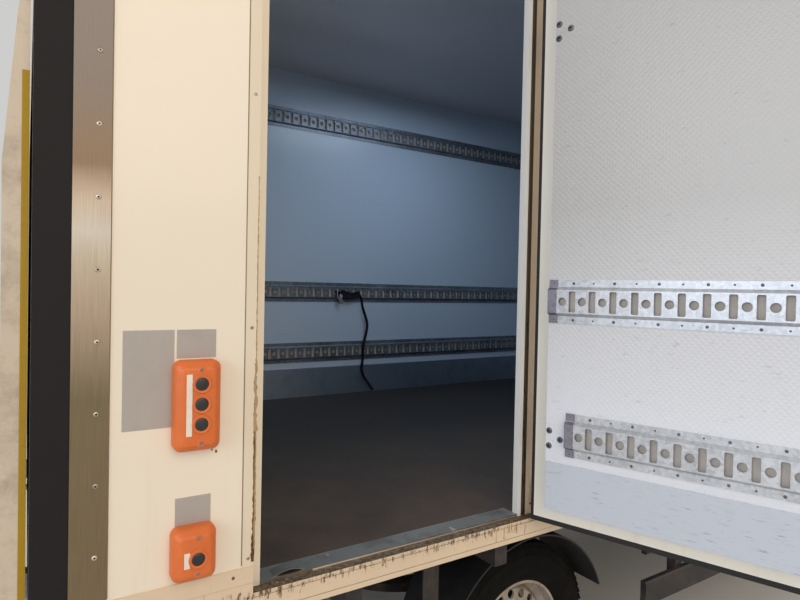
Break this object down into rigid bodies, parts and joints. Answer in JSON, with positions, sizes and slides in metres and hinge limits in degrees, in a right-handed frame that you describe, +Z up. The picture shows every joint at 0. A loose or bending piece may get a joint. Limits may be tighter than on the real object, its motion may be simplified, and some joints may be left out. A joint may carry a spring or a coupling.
{
  "type": "refrigerated box truck",
  "caption": "Light refrigerated box truck with an insulated load body, an open side door, a stowed tail lift, a van-type cab and a cooling unit over it.",
  "frame": {"origin": "on the ground, on the centre plane, midway between the two axles", "axes": "+X forward along the truck, +Y to its left, +Z up"},
  "size_m": [6.9961, 3.278, 3.1029],
  "materials": {
    "painted_white": "gloss",
    "grp_white": "satin",
    "chassis_grey": "satin",
    "steel": "satin",
    "stainless": "brushed",
    "aluminium": "satin",
    "galvanised": "matt",
    "black_plastic": "matt",
    "rubber_black": "matt",
    "tyre": "matt",
    "glass": "clear",
    "lamp": "clear",
    "lamp_red": "gloss",
    "orange_plastic": "satin",
    "floor_brown": "anti-slip",
    "seat_fabric": "woven",
    "dash_plastic": "grained"
  },
  "bodies": {
    "truck": {"chassis_frame": "chassis_grey", "body_subframe": "steel", "engine_and_exhaust": "steel", "fuel_tank": "black_plastic", "rear_mudguards": "black_plastic", "front_axle": "chassis_grey", "rear_axle": "chassis_grey", "cab_shell": "painted_white", "front_bumper": "black_plastic", "headlamps": "lamp", "grille": "black_plastic", "windscreen": "glass", "seats": "seat_fabric", "dashboard": "dash_plastic", "box_floor": "floor_brown", "box_roof": "grp_white", "box_wall_left": "grp_white", "box_wall_right": "grp_white", "box_wall_front": "grp_white", "box_side_rails": "painted_white", "box_corner_trim": "aluminium", "rear_frame": "stainless", "side_door_frame": "aluminium", "wall_rails": "galvanised", "kick_plates": "aluminium", "rear_doors": "grp_white", "rear_door_edges": "rubber_black", "rear_door_locks": "stainless", "lift_frame": "steel", "lift_controls": "orange_plastic", "refrigeration_unit": "painted_white", "rear_lamps": "lamp_red"},
    "knuckle_left": {"knuckle_left": "steel"},
    "knuckle_right": {"knuckle_right": "steel"},
    "wheel_front_left": {"wheel_front_left": "steel", "tyre_front_left": "tyre"},
    "wheel_front_right": {"wheel_front_right": "steel", "tyre_front_right": "tyre"},
    "wheel_rear_left": {"wheel_rear_left": "steel", "tyre_rear_left": "tyre"},
    "wheel_rear_right": {"wheel_rear_right": "steel", "tyre_rear_right": "tyre"},
    "cab_door_left": {"cab_door_left": "painted_white", "door_mirror_left": "black_plastic", "door_glass_left": "glass"},
    "cab_door_right": {"cab_door_right": "painted_white", "door_mirror_right": "black_plastic", "door_glass_right": "glass"},
    "side_door": {"side_door_panel": "grp_white", "side_door_seal": "rubber_black", "side_door_rails": "galvanised", "side_door_hardware": "stainless"},
    "lift_arms": {"lift_arms": "steel"},
    "lift_head": {"lift_head": "steel"},
    "lift_links": {"lift_links": "steel"},
    "lift_platform": {"lift_platform": "aluminium"}
  },
  "joints": [
    {"name": "steer_left", "type": "hinge", "parent": "truck", "child": "knuckle_left", "pos_m": [2.15, 0.755, 0.35], "axis": [0, 0, 1], "range_deg": [-33, 33]},
    {"name": "steer_right", "type": "hinge", "parent": "truck", "child": "knuckle_right", "pos_m": [2.15, -0.755, 0.35], "axis": [0, 0, 1], "range_deg": [-33, 33]},
    {"name": "wheel_front_left_spin", "type": "hinge", "parent": "knuckle_left", "child": "wheel_front_left", "pos_m": [2.15, 0.855, 0.35], "axis": [0, 1, 0], "continuous": true},
    {"name": "wheel_front_right_spin", "type": "hinge", "parent": "knuckle_right", "child": "wheel_front_right", "pos_m": [2.15, -0.855, 0.35], "axis": [0, 1, 0], "continuous": true},
    {"name": "wheel_rear_left_spin", "type": "hinge", "parent": "truck", "child": "wheel_rear_left", "pos_m": [-2.15, 0.825, 0.35], "axis": [0, 1, 0], "continuous": true},
    {"name": "wheel_rear_right_spin", "type": "hinge", "parent": "truck", "child": "wheel_rear_right", "pos_m": [-2.15, -0.825, 0.35], "axis": [0, 1, 0], "continuous": true},
    {"name": "cab_door_left_hinge", "type": "hinge", "parent": "truck", "child": "cab_door_left", "pos_m": [1.775, 1.009, 1], "axis": [0, 0, -1], "range_deg": [0, 65]},
    {"name": "cab_door_right_hinge", "type": "hinge", "parent": "truck", "child": "cab_door_right", "pos_m": [1.775, -1.009, 1], "axis": [0, 0, 1], "range_deg": [0, 65]},
    {"name": "side_door_hinge", "type": "hinge", "parent": "truck", "child": "side_door", "pos_m": [-2.3145, -1.1484, 1.8], "axis": [0, 0, 1], "range_deg": [-108.7, 66]},
    {"name": "lift_arms_hinge", "type": "hinge", "parent": "truck", "child": "lift_arms", "pos_m": [-2.95, 0, 0.44], "axis": [0, -1, 0], "range_deg": [0, 47]},
    {"name": "lift_head_hinge", "type": "hinge", "parent": "lift_arms", "child": "lift_head", "pos_m": [-3.805, 0, 0.86], "axis": [0, -1, 0], "range_deg": [-47, 0]},
    {"name": "lift_links_hinge", "type": "hinge", "parent": "truck", "child": "lift_links", "pos_m": [-2.925, 0, 0.365], "axis": [0, -1, 0], "range_deg": [0, 47]},
    {"name": "lift_platform_hinge", "type": "hinge", "parent": "lift_head", "child": "lift_platform", "pos_m": [-3.805, 0, 0.86], "axis": [0, -1, 0], "range_deg": [0, 94]}
  ],
  "couplings": [
    {"joint": "steer_right", "follows": "steer_left", "ratio": 1},
    {"joint": "lift_head_hinge", "follows": "lift_arms_hinge", "ratio": -1},
    {"joint": "lift_links_hinge", "follows": "lift_arms_hinge", "ratio": 1}
  ]
}
